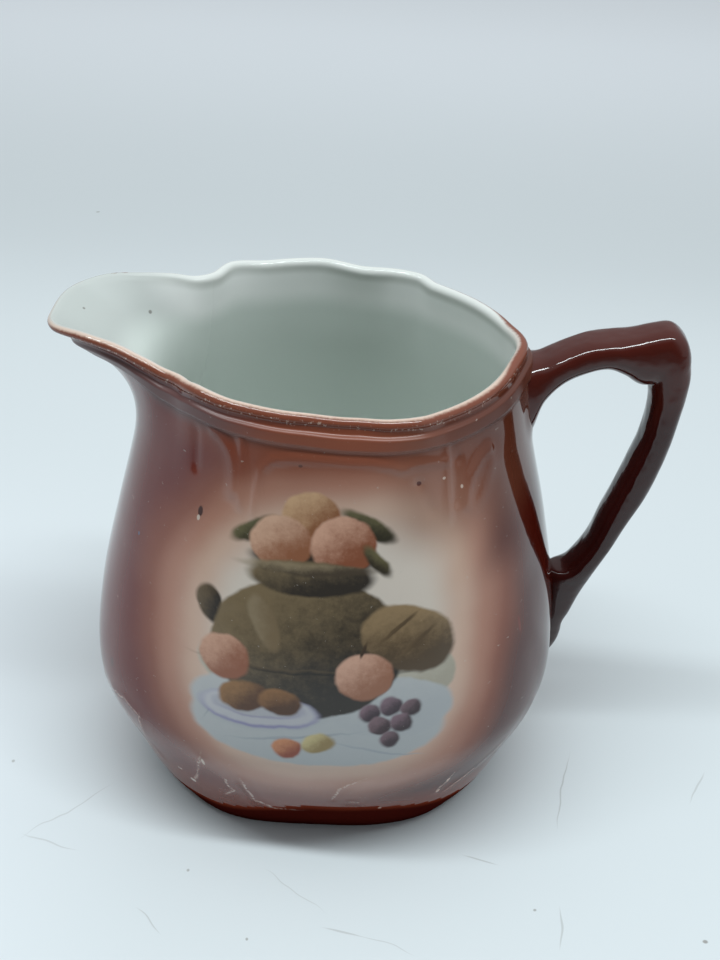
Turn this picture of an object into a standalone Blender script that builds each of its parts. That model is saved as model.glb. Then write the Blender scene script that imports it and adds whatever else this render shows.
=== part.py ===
# Porcelain pitcher, slip cast in one piece: a rounded square body on a foot ring,
# a rolled lip drawn out to a pouring spout, and a loop handle with an angular shoulder.
# Metres, +Z up. The spout points to -X, the handle to +X, and the foot stands on z = 0.
# Angles round the body are in degrees from the spout's middle, the same on both sides.

import bpy
import bmesh
import numpy as np

# Wall and heights, measured on the middle of the wall
WALL = 0.0032
SPOUT_WALL = 0.0022
LIP_HEIGHT = 0.1335
NECK_HEIGHT = 0.112
BULGE_HEIGHT = 0.043

# Half widths along X of the middle of the wall
FOOT_HALF = 0.0491
BULGE_HALF = 0.0648
NECK_HALF = 0.0510
LIP_HALF = 0.0476

# Half depth along Y over half width along X
DEPTH_RATIO = 0.95

# Section exponents: 2 is an ellipse, more is squarer
BODY_SQUARE = 2.4
LIP_SQUARE = 2.0

# Profile between the named heights: share of the height, share of the change in width
FOOT_TO_BULGE = [(0.16, 0.25), (0.52, 0.62)]
BULGE_TO_NECK = [(0.25, 0.885), (0.60, 0.50)]

# Spout: reach past the round lip, the depth at which it has faded, the exponent of the
# fade, and its plan
SPOUT_REACH = 0.0268
SPOUT_DEPTH = 0.033
SPOUT_CURL = 2.8
SPOUT_PLAN = [(0, 1.0), (8.7, 0.94), (15.6, 0.68), (20.4, 0.445), (27, 0.24), (34, 0.07),
              (42, 0.0), (180, 0.0)]

# Scalloped lip: how far the lobes stand out, how fast they fade down the wall, their plan
LOBE_REACH = 0.0021
LOBE_FADE = 0.009
LOBE_PLAN = [(0, 0), (36, 0.3), (48, 1.0), (62, 0.3), (80, -0.1), (97, -0.8), (108, -0.1),
             (117, 0.15), (126, -0.6), (143, -0.75), (165, -0.6), (180, 0.2)]

# Height of the lip over LIP_HEIGHT, its plan, and the depths at which it starts to fade
# and has faded
LIP_RISE = 0.0053
LIP_RISE_PLAN = [(0, 0.55), (8.7, 0.80), (15.6, 1.0), (20.4, 0.85), (27, 0.56), (34, 0.2), (40, 0.18),
                 (48, 0.4), (61, 0.21), (80, 0.21), (97, -0.04), (117, -0.06), (126, -0.21),
                 (142, -0.15), (165, 0), (180, 0.13)]
RISE_KEEP = 0.009
RISE_GONE = 0.045

# Moulded band under the lip roll: depth below the lip and height of the relief
BAND_TOP = 0.0030
BAND_BOTTOM = 0.0056
BAND_HEIGHT = 0.0007
BAND_EDGE = 0.0009
GROOVE_DEPTH = 0.0004

# Foot ring, the shallow recess inside it, and the floor over that
FOOT_BEVEL = 0.0008
FOOT_RING = 0.0055
FOOT_RECESS = 0.0018
RECESS_SLOPE = 0.0015
FLOOR = 0.0036

# Rounded corner between the inner wall and the floor
CORNER_HEIGHT = 0.012
CORNER_REACH = 0.016

# Height over which the wall's thickness turns from level to square to the wall
FOOT_FLARE = 0.015

# Handle: height of its lower end, how far its top stands over LIP_HEIGHT, its reach from
# the middle of the wall, its width along Y, and the exponent of its section
HANDLE_LOW = 0.0265
HANDLE_LIFT = 0.0087
HANDLE_REACH = 0.046
HANDLE_WIDTH = 0.014
HANDLE_SQUARE = 2.5

# Handle from the upper root round to the lower root: outer edge as share of the reach
# and of the height, the same of the inner edge, and share of the width
HANDLE_EDGES = [
    (-0.006, 0.895, -0.010, 0.713, 1.22),
    (0.094, 0.905, 0.049, 0.742, 1.18),
    (0.182, 0.922, 0.120, 0.801, 1.10),
    (0.280, 0.943, 0.226, 0.849, 1.02),
    (0.389, 0.962, 0.360, 0.880, 1.00),
    (0.509, 0.972, 0.486, 0.895, 1.00),
    (0.628, 0.981, 0.583, 0.882, 1.00),
    (0.737, 0.995, 0.650, 0.863, 1.02),
    (0.830, 1.003, 0.695, 0.857, 1.03),
    (0.911, 0.984, 0.733, 0.859, 1.03),
    (0.961, 0.945, 0.736, 0.846, 1.02),
    (0.972, 0.899, 0.739, 0.825, 1.00),
    (0.954, 0.847, 0.733, 0.795, 1.00),
    (0.921, 0.791, 0.713, 0.756, 1.00),
    (0.867, 0.717, 0.668, 0.702, 1.00),
    (0.785, 0.640, 0.586, 0.637, 1.00),
    (0.687, 0.566, 0.495, 0.568, 1.00),
    (0.561, 0.488, 0.394, 0.494, 1.00),
    (0.437, 0.406, 0.283, 0.407, 0.98),
    (0.327, 0.333, 0.141, 0.335, 0.94),
    (0.233, 0.258, 0.029, 0.305, 0.86),
    (0.172, 0.199, 0.010, 0.203, 0.78),
    (0.127, 0.147, 0.001, 0.147, 0.70),
    (0.128, 0.095, 0.021, 0.091, 0.60),
    (0.107, 0.048, 0.025, 0.043, 0.48),
    (0.048, 0.000, 0.022, 0.000, 0.34),
]

# Mesh counts, and how columns and inner rows crowd towards the spout and the lip
COLUMNS = 72
COLUMN_EVENNESS = 0.7
BODY_ROWS = 23
BAND_DEPTHS = 8
ROLL_ROWS = 4
INNER_ROWS = 13
INNER_CROWDING = 1.4
CORNER_ROWS = 4
FLOOR_RINGS = 2
HANDLE_STATIONS = 40
HANDLE_SIDES = 16

# Step in radians and metres for reading slopes off the wall
SLOPE_STEP = 1e-5

# Finish
GLAZE_COLOUR = (0.28, 0.11, 0.08, 1.0)
GLAZE_ROUGHNESS = 0.08


def curve(knots, at, flat_ends=False):
    """Smooth curve through (x, y) knots without overshoot, read at the values in at."""
    kx, ky = np.array(knots, float).T
    slope = np.gradient(ky, kx)
    secant = np.diff(ky) / np.diff(kx)
    before = np.append(secant[0], secant)
    after = np.append(secant, secant[-1])
    limit = 3 * np.minimum(np.abs(before), np.abs(after))
    slope = np.where(before * after <= 0, 0.0, np.clip(slope, -limit, limit))
    if flat_ends:
        slope[0] = slope[-1] = 0.0
    i = np.clip(np.searchsorted(kx, at) - 1, 0, len(kx) - 2)
    span = kx[i + 1] - kx[i]
    t = np.clip((at - kx[i]) / span, 0.0, 1.0)
    rise = ky[i + 1] - ky[i]
    cubic = t * t * (3 - 2 * t)
    lead = t * (1 - t) ** 2 * span * slope[i]
    trail = t * t * (t - 1) * span * slope[i + 1]
    return ky[i] + cubic * rise + lead + trail


def smoothstep(value):
    t = np.clip(value, 0.0, 1.0)
    return t * t * (3 - 2 * t)


def profile_knots():
    """Heights and half widths of the middle of the wall from foot to lip."""
    knots = [(0.0, FOOT_HALF)]
    for up, out in FOOT_TO_BULGE:
        knots.append((up * BULGE_HEIGHT, FOOT_HALF + out * (BULGE_HALF - FOOT_HALF)))
    knots.append((BULGE_HEIGHT, BULGE_HALF))
    for up, out in BULGE_TO_NECK:
        height = BULGE_HEIGHT + up * (NECK_HEIGHT - BULGE_HEIGHT)
        knots.append((height, NECK_HALF + out * (BULGE_HALF - NECK_HALF)))
    knots.append((NECK_HEIGHT, NECK_HALF))
    knots.append((LIP_HEIGHT, LIP_HALF))
    return knots


def section(height):
    """Half width, half depth and exponent of the body at a height."""
    half = curve(profile_knots(), height)
    square = LIP_SQUARE + (BODY_SQUARE - LIP_SQUARE) * smoothstep(
        (LIP_HEIGHT - height) / (LIP_HEIGHT - BULGE_HEIGHT))
    return half, half * DEPTH_RATIO, square


def middle(angle, height):
    """Point on the middle of the wall; angle in radians from the spout."""
    half, half_depth, square = section(height)
    depth = LIP_HEIGHT - height
    degrees = np.degrees(np.abs(angle))
    across = np.abs(np.cos(angle) / half) ** square
    along = np.abs(np.sin(angle) / half_depth) ** square
    radius = (across + along) ** (-1 / square)
    curl = np.clip(1 - depth / SPOUT_DEPTH, 0.0, 1.0) ** SPOUT_CURL
    spout = SPOUT_REACH * curve(SPOUT_PLAN, degrees, True) * curl
    lobes = LOBE_REACH * curve(LOBE_PLAN, degrees, True) * np.exp(-np.maximum(depth, 0.0) / LOBE_FADE)
    radius = radius + spout + lobes
    lift = LIP_RISE * curve(LIP_RISE_PLAN, degrees, True)
    rise = lift * (1 - smoothstep((depth - RISE_KEEP) / (RISE_GONE - RISE_KEEP)))
    return np.stack([-radius * np.cos(angle), radius * np.sin(angle), height + rise], -1)


def half_wall(angle, height):
    """Half the wall's thickness, thinner towards the end of the spout."""
    degrees = np.degrees(np.abs(angle))
    share = curve(SPOUT_PLAN, degrees, True) * smoothstep(1 - (LIP_HEIGHT - height) / SPOUT_DEPTH)
    return ((WALL + (SPOUT_WALL - WALL) * share) / 2)[..., None]


def unit(vectors):
    return vectors / np.linalg.norm(vectors, axis=-1, keepdims=True)


def wall_frame(angle, height):
    """Middle point, outward normal and upward tangent of the wall."""
    height = height + 0.0 * angle
    turn = middle(angle + SLOPE_STEP, height) - middle(angle - SLOPE_STEP, height)
    climb = middle(angle, height + SLOPE_STEP) - middle(angle, height - SLOPE_STEP)
    normal = np.cross(climb, turn)
    # Near the foot the wall thickness is measured level, so that the foot stays flat
    level = smoothstep(height / FOOT_FLARE)
    normal[..., 2] *= level
    return middle(angle, height), unit(normal), unit(climb)


def band(depth):
    """Relief of the moulded band and of the groove between it and the lip roll."""
    under_roll = smoothstep(depth / BAND_EDGE)
    in_band = smoothstep((depth - BAND_TOP) / BAND_EDGE + 1)
    past_band = smoothstep((depth - BAND_BOTTOM) / BAND_EDGE)
    return BAND_HEIGHT * in_band * (1 - past_band) - GROOVE_DEPTH * under_roll * (1 - in_band)


def outer_ring(angle, height):
    point, normal, _ = wall_frame(angle, height)
    return point + (half_wall(angle, height) + band(LIP_HEIGHT - height)) * normal


def inner_ring(angle, height):
    point, normal, _ = wall_frame(angle, height)
    return point - half_wall(angle, height) * normal


def roll_ring(angle, turn):
    """Ring over the top of the lip; turn 0 is the outer face, 180 the inner face."""
    point, normal, up = wall_frame(angle, LIP_HEIGHT)
    return point + half_wall(angle, LIP_HEIGHT) * (np.cos(turn) * normal + np.sin(turn) * up)


def inset(ring, distance, height):
    """Ring moved level towards the axis and set at a height."""
    radius = np.linalg.norm(ring[:, :2], axis=1, keepdims=True)
    flat = ring[:, :2] * (1 - distance / radius)
    return np.column_stack([flat, np.full(len(ring), height)])


def column_angles():
    """Angles in radians round the body, closer together at the spout."""
    share = np.linspace(-1, 1, COLUMNS, endpoint=False)
    return np.pi * (COLUMN_EVENNESS * share + (1 - COLUMN_EVENNESS) * share ** 3)


def underside_rings(foot):
    """From the middle of the underside out to the foot's edge."""
    recess = inset(foot, FOOT_RING + RECESS_SLOPE, FOOT_RECESS)
    halfway = (0.5, 0.5, 1.0)
    return [
        recess * halfway,
        recess,
        inset(foot, FOOT_RING, 0.0),
        inset(foot, FOOT_BEVEL, 0.0),
    ]


def inside_rings(angle):
    """From the lip down the inner wall and over the floor."""
    floor = FOOT_RECESS + FLOOR
    corner = floor + CORNER_HEIGHT
    depths = (LIP_HEIGHT - corner) * np.linspace(0, 1, INNER_ROWS + 1) ** INNER_CROWDING
    rings = [inner_ring(angle, LIP_HEIGHT - depth) for depth in depths]
    wall = rings[-1]
    for turn in np.linspace(0, np.pi / 2, CORNER_ROWS + 1)[1:]:
        height = corner - (corner - floor) * np.sin(turn)
        rings.append(inset(wall, CORNER_REACH * (1 - np.cos(turn)), height))
    edge = rings[-1]
    for share in np.linspace(1, 0, FLOOR_RINGS + 2)[1:-1]:
        rings.append(edge * (share, share, 1.0))
    return rings


def body_rings():
    """All rings of the body in order, from the underside's middle to the floor's."""
    angle = column_angles()
    band_end = BAND_BOTTOM + 2 * BAND_EDGE
    rows = np.linspace(FOOT_BEVEL, LIP_HEIGHT - band_end, BODY_ROWS, endpoint=False)
    depths = np.linspace(band_end, 0, BAND_DEPTHS + 1)
    heights = np.concatenate([rows, LIP_HEIGHT - depths])
    outside = [outer_ring(angle, height) for height in heights]
    roll = [roll_ring(angle, turn) for turn in np.linspace(0, np.pi, ROLL_ROWS + 1)[1:-1]]
    return underside_rings(outside[0]) + outside + roll + inside_rings(angle)


def skin(name, rings, end_points):
    """Closed mesh over a list of rings, with a fan to a point at each end."""
    bm = bmesh.new()
    loops = [[bm.verts.new(point) for point in ring] for ring in rings]
    for low, high in zip(loops, loops[1:]):
        for i in range(len(low)):
            j = (i + 1) % len(low)
            bm.faces.new((low[i], low[j], high[j], high[i]))
    for loop, point in zip((loops[0], loops[-1]), end_points):
        centre = bm.verts.new(point)
        for i in range(len(loop)):
            bm.faces.new((loop[i], loop[(i + 1) % len(loop)], centre))
    bmesh.ops.recalc_face_normals(bm, faces=bm.faces)
    mesh = bpy.data.meshes.new(name)
    bm.to_mesh(mesh)
    bm.free()
    return mesh


def wall_x(y, z):
    """X of the middle of the wall on the handle side."""
    half, half_depth, square = section(np.clip(z, 0.0, LIP_HEIGHT))
    return half * (1 - np.abs(y / half_depth) ** square) ** (1 / square)


def handle_edge(out, up):
    """Points in the plane y = 0 from shares of the handle's reach and height."""
    z = HANDLE_LOW + up * (LIP_HEIGHT + HANDLE_LIFT - HANDLE_LOW)
    x = wall_x(0.0, z) + out * HANDLE_REACH
    return np.column_stack([x, 0 * x, z])


def handle_rings():
    """Sections between the handle's two edges, kept out of the hollow."""
    table = np.array(HANDLE_EDGES)
    knots = np.arange(len(table))
    at = np.linspace(0, len(table) - 1, HANDLE_STATIONS)
    columns = [curve(np.column_stack([knots, column]), at) for column in table.T]
    outer = handle_edge(columns[0], columns[1])
    inner = handle_edge(columns[2], columns[3])
    turns = np.linspace(0, 2 * np.pi, HANDLE_SIDES, endpoint=False)
    power = 2 / HANDLE_SQUARE
    across = np.sign(np.cos(turns)) * np.abs(np.cos(turns)) ** power
    level = np.sign(np.sin(turns)) * np.abs(np.sin(turns)) ** power
    rings = []
    for high, low, wide in zip(outer, inner, columns[4]):
        ring = (high + low) / 2 + np.outer(across, (high - low) / 2)
        ring[:, 1] += level * wide * HANDLE_WIDTH / 2
        ring[:, 0] = np.maximum(ring[:, 0], wall_x(ring[:, 1], ring[:, 2]))
        rings.append(ring)
    return rings


def glaze():
    material = bpy.data.materials.new("glazed_porcelain")
    material.use_nodes = True
    shader = material.node_tree.nodes["Principled BSDF"]
    shader.inputs["Base Color"].default_value = GLAZE_COLOUR
    shader.inputs["Roughness"].default_value = GLAZE_ROUGHNESS
    return material


def add_object(name, mesh, collection):
    thing = bpy.data.objects.new(name, mesh)
    collection.objects.link(thing)
    mesh.shade_smooth()
    return thing


def main():
    for thing in list(bpy.data.objects):
        bpy.data.objects.remove(thing)
    parts = bpy.data.collections.new("porcelain_pitcher")
    joined = bpy.data.collections.new("joined_shapes")
    for collection in (parts, joined):
        bpy.context.scene.collection.children.link(collection)

    rings = body_rings()
    loop = handle_rings()
    # The frame's zero is under the middle of the whole outline
    everything = np.concatenate(rings + loop)
    shift = np.array([(everything[:, 0].min() + everything[:, 0].max()) / 2, 0.0, 0.0])
    rings = [ring - shift for ring in rings]
    loop = [ring - shift for ring in loop]

    underside = (-shift[0], 0.0, rings[0][0, 2])
    floor = (-shift[0], 0.0, rings[-1][0, 2])
    pitcher = add_object("pitcher", skin("pitcher", rings, (underside, floor)), parts)
    ends = (loop[0].mean(axis=0), loop[-1].mean(axis=0))
    handle = add_object("handle_loop", skin("handle_loop", loop, ends), joined)
    handle.hide_render = True
    handle.display_type = "WIRE"
    union = pitcher.modifiers.new("handle", "BOOLEAN")
    union.operation = "UNION"
    union.object = handle
    pitcher.data.materials.append(glaze())


main()
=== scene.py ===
# Porcelain pitcher, dressed for a studio photograph: one glazed piece in place of the CAD solid.
# Metres, in the row's frame. Angles round the body are in degrees from the spout's middle.

import math

import bmesh
import bpy
import numpy as np
from mathutils import Matrix, Vector
from mathutils.bvhtree import BVHTree


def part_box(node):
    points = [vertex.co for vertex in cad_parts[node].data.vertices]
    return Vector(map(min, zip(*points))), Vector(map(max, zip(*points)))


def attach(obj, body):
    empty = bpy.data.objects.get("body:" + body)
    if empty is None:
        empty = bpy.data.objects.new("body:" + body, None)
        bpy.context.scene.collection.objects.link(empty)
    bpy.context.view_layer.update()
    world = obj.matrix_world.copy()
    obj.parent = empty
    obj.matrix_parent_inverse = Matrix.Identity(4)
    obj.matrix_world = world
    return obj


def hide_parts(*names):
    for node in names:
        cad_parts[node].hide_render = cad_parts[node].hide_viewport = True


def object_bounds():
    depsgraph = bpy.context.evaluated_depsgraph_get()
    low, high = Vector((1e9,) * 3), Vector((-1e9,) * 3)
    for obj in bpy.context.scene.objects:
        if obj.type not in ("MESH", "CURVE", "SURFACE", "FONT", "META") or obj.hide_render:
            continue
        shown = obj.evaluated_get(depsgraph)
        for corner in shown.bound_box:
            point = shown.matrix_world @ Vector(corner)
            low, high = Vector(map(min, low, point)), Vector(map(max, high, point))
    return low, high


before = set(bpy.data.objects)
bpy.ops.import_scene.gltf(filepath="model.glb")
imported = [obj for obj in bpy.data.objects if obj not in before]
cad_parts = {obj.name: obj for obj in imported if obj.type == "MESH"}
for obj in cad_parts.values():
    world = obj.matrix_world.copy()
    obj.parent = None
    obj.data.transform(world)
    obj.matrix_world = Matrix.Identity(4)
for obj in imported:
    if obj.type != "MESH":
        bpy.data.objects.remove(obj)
cad_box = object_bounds()

# The solid's own sizes, as in the part's source
WALL = 0.0032
SPOUT_WALL = 0.0022
LIP_HEIGHT = 0.1335
NECK_HEIGHT = 0.112
BULGE_HEIGHT = 0.043
FOOT_HALF = 0.0491
BULGE_HALF = 0.0648
NECK_HALF = 0.0510
LIP_HALF = 0.0476
DEPTH_RATIO = 0.95
BODY_SQUARE = 2.4
LIP_SQUARE = 2.0
FOOT_TO_BULGE = [(0.16, 0.25), (0.52, 0.62)]
BULGE_TO_NECK = [(0.25, 0.885), (0.60, 0.50)]
SPOUT_REACH = 0.0268
SPOUT_DEPTH = 0.033
SPOUT_CURL = 2.8
SPOUT_PLAN = [(0, 1.0), (8.7, 0.94), (15.6, 0.68), (20.4, 0.445), (27, 0.24), (34, 0.07),
              (42, 0.0), (180, 0.0)]
LOBE_REACH = 0.0021
LOBE_FADE = 0.009
LOBE_PLAN = [(0, 0), (36, 0.3), (48, 1.0), (62, 0.3), (80, -0.1), (97, -0.8), (108, -0.1),
             (117, 0.15), (126, -0.6), (143, -0.75), (165, -0.6), (180, 0.2)]
LIP_RISE = 0.0053
LIP_RISE_PLAN = [(0, 0.55), (8.7, 0.80), (15.6, 1.0), (20.4, 0.85), (27, 0.56), (34, 0.2), (40, 0.18),
                 (48, 0.4), (61, 0.21), (80, 0.21), (97, -0.04), (117, -0.06), (126, -0.21),
                 (142, -0.15), (165, 0), (180, 0.13)]
RISE_KEEP = 0.009
RISE_GONE = 0.045
BAND_TOP = 0.0030
BAND_BOTTOM = 0.0056
BAND_HEIGHT = 0.0007
BAND_EDGE = 0.0009
GROOVE_DEPTH = 0.0004
FOOT_BEVEL = 0.0008
FOOT_RING = 0.0055
FOOT_RECESS = 0.0018
RECESS_SLOPE = 0.0015
FLOOR = 0.0036
CORNER_HEIGHT = 0.012
CORNER_REACH = 0.016
FOOT_FLARE = 0.015
HANDLE_LOW = 0.0265
HANDLE_LIFT = 0.0087
HANDLE_REACH = 0.046
HANDLE_WIDTH = 0.014
HANDLE_SQUARE = 3.0
HANDLE_ROUND = 2.1
HANDLE_EDGES = [
    (-0.006, 0.895, -0.010, 0.713, 1.22),
    (0.094, 0.905, 0.049, 0.742, 1.18),
    (0.182, 0.922, 0.120, 0.801, 1.10),
    (0.280, 0.943, 0.226, 0.849, 1.02),
    (0.389, 0.962, 0.360, 0.880, 1.00),
    (0.509, 0.972, 0.486, 0.895, 1.00),
    (0.628, 0.981, 0.583, 0.882, 1.00),
    (0.737, 0.995, 0.650, 0.863, 1.02),
    (0.830, 1.003, 0.695, 0.857, 1.03),
    (0.911, 0.984, 0.733, 0.859, 1.03),
    (0.961, 0.945, 0.736, 0.846, 1.02),
    (0.972, 0.899, 0.739, 0.825, 1.00),
    (0.954, 0.847, 0.733, 0.795, 1.00),
    (0.921, 0.791, 0.713, 0.756, 1.00),
    (0.867, 0.717, 0.668, 0.702, 1.00),
    (0.785, 0.640, 0.586, 0.637, 1.00),
    (0.687, 0.566, 0.495, 0.568, 1.00),
    (0.561, 0.488, 0.394, 0.494, 1.00),
    (0.437, 0.406, 0.283, 0.407, 0.98),
    (0.327, 0.333, 0.141, 0.335, 0.94),
    (0.233, 0.258, 0.029, 0.305, 0.86),
    (0.172, 0.199, 0.010, 0.203, 0.78),
    (0.127, 0.147, 0.001, 0.147, 0.70),
    (0.128, 0.095, 0.021, 0.091, 0.60),
    (0.107, 0.048, 0.025, 0.043, 0.48),
    (0.048, 0.000, 0.022, 0.000, 0.34),
]

# Mesh counts of the dressed piece
COLUMNS = 380
COLUMN_EVEN = 0.78
BODY_ROWS = 118
BAND_DEPTHS = 26
ROLL_ROWS = 10
INNER_ROWS = 44
CORNER_ROWS = 8
FLOOR_RINGS = 4
HANDLE_STATIONS = 190
HANDLE_SIDES = 56

SLOPE_STEP = 1e-5
AXIS_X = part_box("pitcher")[0].x + LIP_HALF + SPOUT_REACH + SPOUT_WALL / 2


def curve(knots, at, flat_ends=False):
    """Smooth curve through (x, y) knots without overshoot, read at the values in at."""
    kx, ky = np.array(knots, float).T
    slope = np.gradient(ky, kx)
    secant = np.diff(ky) / np.diff(kx)
    before = np.append(secant[0], secant)
    after = np.append(secant, secant[-1])
    limit = 3 * np.minimum(np.abs(before), np.abs(after))
    slope = np.where(before * after <= 0, 0.0, np.clip(slope, -limit, limit))
    if flat_ends:
        slope[0] = slope[-1] = 0.0
    i = np.clip(np.searchsorted(kx, at) - 1, 0, len(kx) - 2)
    span = kx[i + 1] - kx[i]
    t = np.clip((at - kx[i]) / span, 0.0, 1.0)
    rise = ky[i + 1] - ky[i]
    cubic = t * t * (3 - 2 * t)
    lead = t * (1 - t) ** 2 * span * slope[i]
    trail = t * t * (t - 1) * span * slope[i + 1]
    return ky[i] + cubic * rise + lead + trail


def smoothstep(value):
    t = np.clip(value, 0.0, 1.0)
    return t * t * (3 - 2 * t)


def profile_knots():
    knots = [(0.0, FOOT_HALF)]
    for up, out in FOOT_TO_BULGE:
        knots.append((up * BULGE_HEIGHT, FOOT_HALF + out * (BULGE_HALF - FOOT_HALF)))
    knots.append((BULGE_HEIGHT, BULGE_HALF))
    for up, out in BULGE_TO_NECK:
        height = BULGE_HEIGHT + up * (NECK_HEIGHT - BULGE_HEIGHT)
        knots.append((height, NECK_HALF + out * (BULGE_HALF - NECK_HALF)))
    knots.append((NECK_HEIGHT, NECK_HALF))
    knots.append((LIP_HEIGHT, LIP_HALF))
    return knots


def section(height):
    """Half width, half depth and exponent of the body at a height."""
    half = curve(profile_knots(), height)
    square = LIP_SQUARE + (BODY_SQUARE - LIP_SQUARE) * smoothstep(
        (LIP_HEIGHT - height) / (LIP_HEIGHT - BULGE_HEIGHT))
    return half, half * DEPTH_RATIO, square


def middle(angle, height):
    """Point on the middle of the wall; angle in radians from the spout."""
    half, half_depth, square = section(height)
    depth = LIP_HEIGHT - height
    degrees = np.degrees(np.abs(angle))
    across = np.abs(np.cos(angle) / half) ** square
    along = np.abs(np.sin(angle) / half_depth) ** square
    radius = (across + along) ** (-1 / square)
    curl = np.clip(1 - depth / SPOUT_DEPTH, 0.0, 1.0) ** SPOUT_CURL
    spout = SPOUT_REACH * curve(SPOUT_PLAN, degrees, True) * curl
    lobes = LOBE_REACH * curve(LOBE_PLAN, degrees, True) * np.exp(-np.maximum(depth, 0.0) / LOBE_FADE)
    radius = radius + spout + lobes
    lift = LIP_RISE * curve(LIP_RISE_PLAN, degrees, True)
    rise = lift * (1 - smoothstep((depth - RISE_KEEP) / (RISE_GONE - RISE_KEEP)))
    return np.stack([-radius * np.cos(angle), radius * np.sin(angle), height + rise], -1)


def half_wall(angle, height):
    degrees = np.degrees(np.abs(angle))
    share = curve(SPOUT_PLAN, degrees, True) * smoothstep(1 - (LIP_HEIGHT - height) / SPOUT_DEPTH)
    return ((WALL + (SPOUT_WALL - WALL) * share) / 2)[..., None]


def unit(vectors):
    return vectors / np.linalg.norm(vectors, axis=-1, keepdims=True)


def wall_frame(angle, height):
    """Middle point, outward normal and upward tangent of the wall."""
    height = height + 0.0 * angle
    turn = middle(angle + SLOPE_STEP, height) - middle(angle - SLOPE_STEP, height)
    climb = middle(angle, height + SLOPE_STEP) - middle(angle, height - SLOPE_STEP)
    normal = np.cross(climb, turn)
    normal[..., 2] *= smoothstep(height / FOOT_FLARE)
    return middle(angle, height), unit(normal), unit(climb)


def band(depth):
    """Relief of the moulded band and of the groove between it and the lip roll."""
    under_roll = smoothstep(depth / BAND_EDGE)
    in_band = smoothstep((depth - BAND_TOP) / BAND_EDGE + 1)
    past_band = smoothstep((depth - BAND_BOTTOM) / BAND_EDGE)
    return BAND_HEIGHT * in_band * (1 - past_band) - GROOVE_DEPTH * under_roll * (1 - in_band)


# Moulded relief, in millimetres: places are (degrees round, depth below the lip)
PANEL_TOP = [(69.5, 26), (70.2, 18), (71.0, 13.6), (74.1, 10.5), (81.2, 9.3), (92, 8.6), (102.9, 8.8),
             (108, 9.6), (111.5, 10.9), (114.5, 9.8), (121.6, 10.1), (125.6, 10.4)]
COMMA = [(55.5, 7.4), (58.2, 8.4), (60.8, 10.6), (62.2, 13.2), (62.9, 16.5), (63.2, 21)]
SPOUT_FLUTE = [(49.4, 9.8), (49.7, 14), (50.2, 19)]
SPOUT_EDGE = [(63.9, 6.4), (65.0, 11.4), (65.5, 17.2), (65.6, 24)]
HANDLE_EDGE_LINE = [(125.5, 5.6), (125.7, 12), (125.6, 19), (125.2, 27)]
HANDLE_FLUTE = [(127.9, 7.5), (128.2, 14), (127.8, 22)]
LEAF_RIM = [(141.5, 11.2), (137.4, 13.0), (133.8, 16.4), (131.9, 20.6), (131.6, 24.4)]
LEAF_BACK = [(141.8, 12.6), (140.6, 17.0), (137.6, 22.5), (134.0, 26.5)]
PIT_TAIL = [(116.5, 15.5), (118.2, 19.0), (119.6, 23.0)]
# Lines with the height of their moulding, below 0 where it is cut in, and its half width
MOULDING = [(PANEL_TOP, 0.42, 0.8), (COMMA, 0.60, 1.5), (SPOUT_FLUTE, -0.45, 1.3), (SPOUT_EDGE, 0.40, 0.9),
            (HANDLE_EDGE_LINE, 0.35, 0.7), (HANDLE_FLUTE, -0.35, 1.1), (LEAF_RIM, 0.55, 1.2),
            (LEAF_BACK, 0.30, 1.6), (PIT_TAIL, -0.20, 1.5)]
# Pits: degrees round, depth below the lip, half widths across and down, depth of the pit
PITS = [(129.8, 10.6, 0.9, 1.7, 0.55), (116.3, 15.1, 0.7, 0.7, 0.45)]
MOULDING_TOP = 5.6
MOULDING_START = 1.5
MOULDING_END = 22
MOULDING_FADE = 8
SHOULDER_DEGREE = 0.84
FOOT_DEGREE = 0.98
FOOT_SCROLL_LIFT = 0.24
FOOT_SCROLL_WIDTH = 1.4

# Unevenness of the hand-finished walls and foot: lifts in millimetres, places in degrees round
CORNER_PLACE = 138.5
CORNER_DRIFT = 0.25
CORNER_WIDTH = 8.0
CORNER_LIFT = 0.85
CORNER_TOP = (9, 8)
CORNER_END = (38, 18)
LEFT_LIFT = 0.8
LEFT_PLACE = (32, 46)
LEFT_WIDTH = 17
RIGHT_LIFT = 0.5
RIGHT_DEGREES = (152, 14)
RIGHT_HEIGHT = (84, 22)
FOOT_LIFTS = [(1.0, 60, 13), (-0.9, 93, 19), (0.4, 127, 9)]
FOOT_LIFT_TOP = 15


def away(degrees, depth, line, per_degree):
    """Distance in millimetres to a line of (degrees, depth) points."""
    best = np.full(np.broadcast(degrees, depth).shape, 1e9)
    for (a0, d0), (a1, d1) in zip(line, line[1:]):
        dx, dy = (a1 - a0) * per_degree, d1 - d0
        px, py = (degrees - a0) * per_degree, depth - d0
        t = np.clip((px * dx + py * dy) / (dx * dx + dy * dy), 0.0, 1.0)
        best = np.minimum(best, np.hypot(px - t * dx, py - t * dy))
    return best


def bump(distance, width):
    return np.exp(-(distance / width) ** 2)


def shoulder_relief(degrees, depth):
    """Height of the moulding under the lip, in millimetres."""
    height = np.zeros(np.broadcast(degrees, depth).shape)
    for line, lift, width in MOULDING:
        height += lift * bump(away(degrees, depth, line, SHOULDER_DEGREE), width)
    for place, down, across, along, lift in PITS:
        spread = np.hypot((degrees - place) * SHOULDER_DEGREE / across, (depth - down) / along)
        height -= lift * bump(spread, 1.0)
    return height


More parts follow.
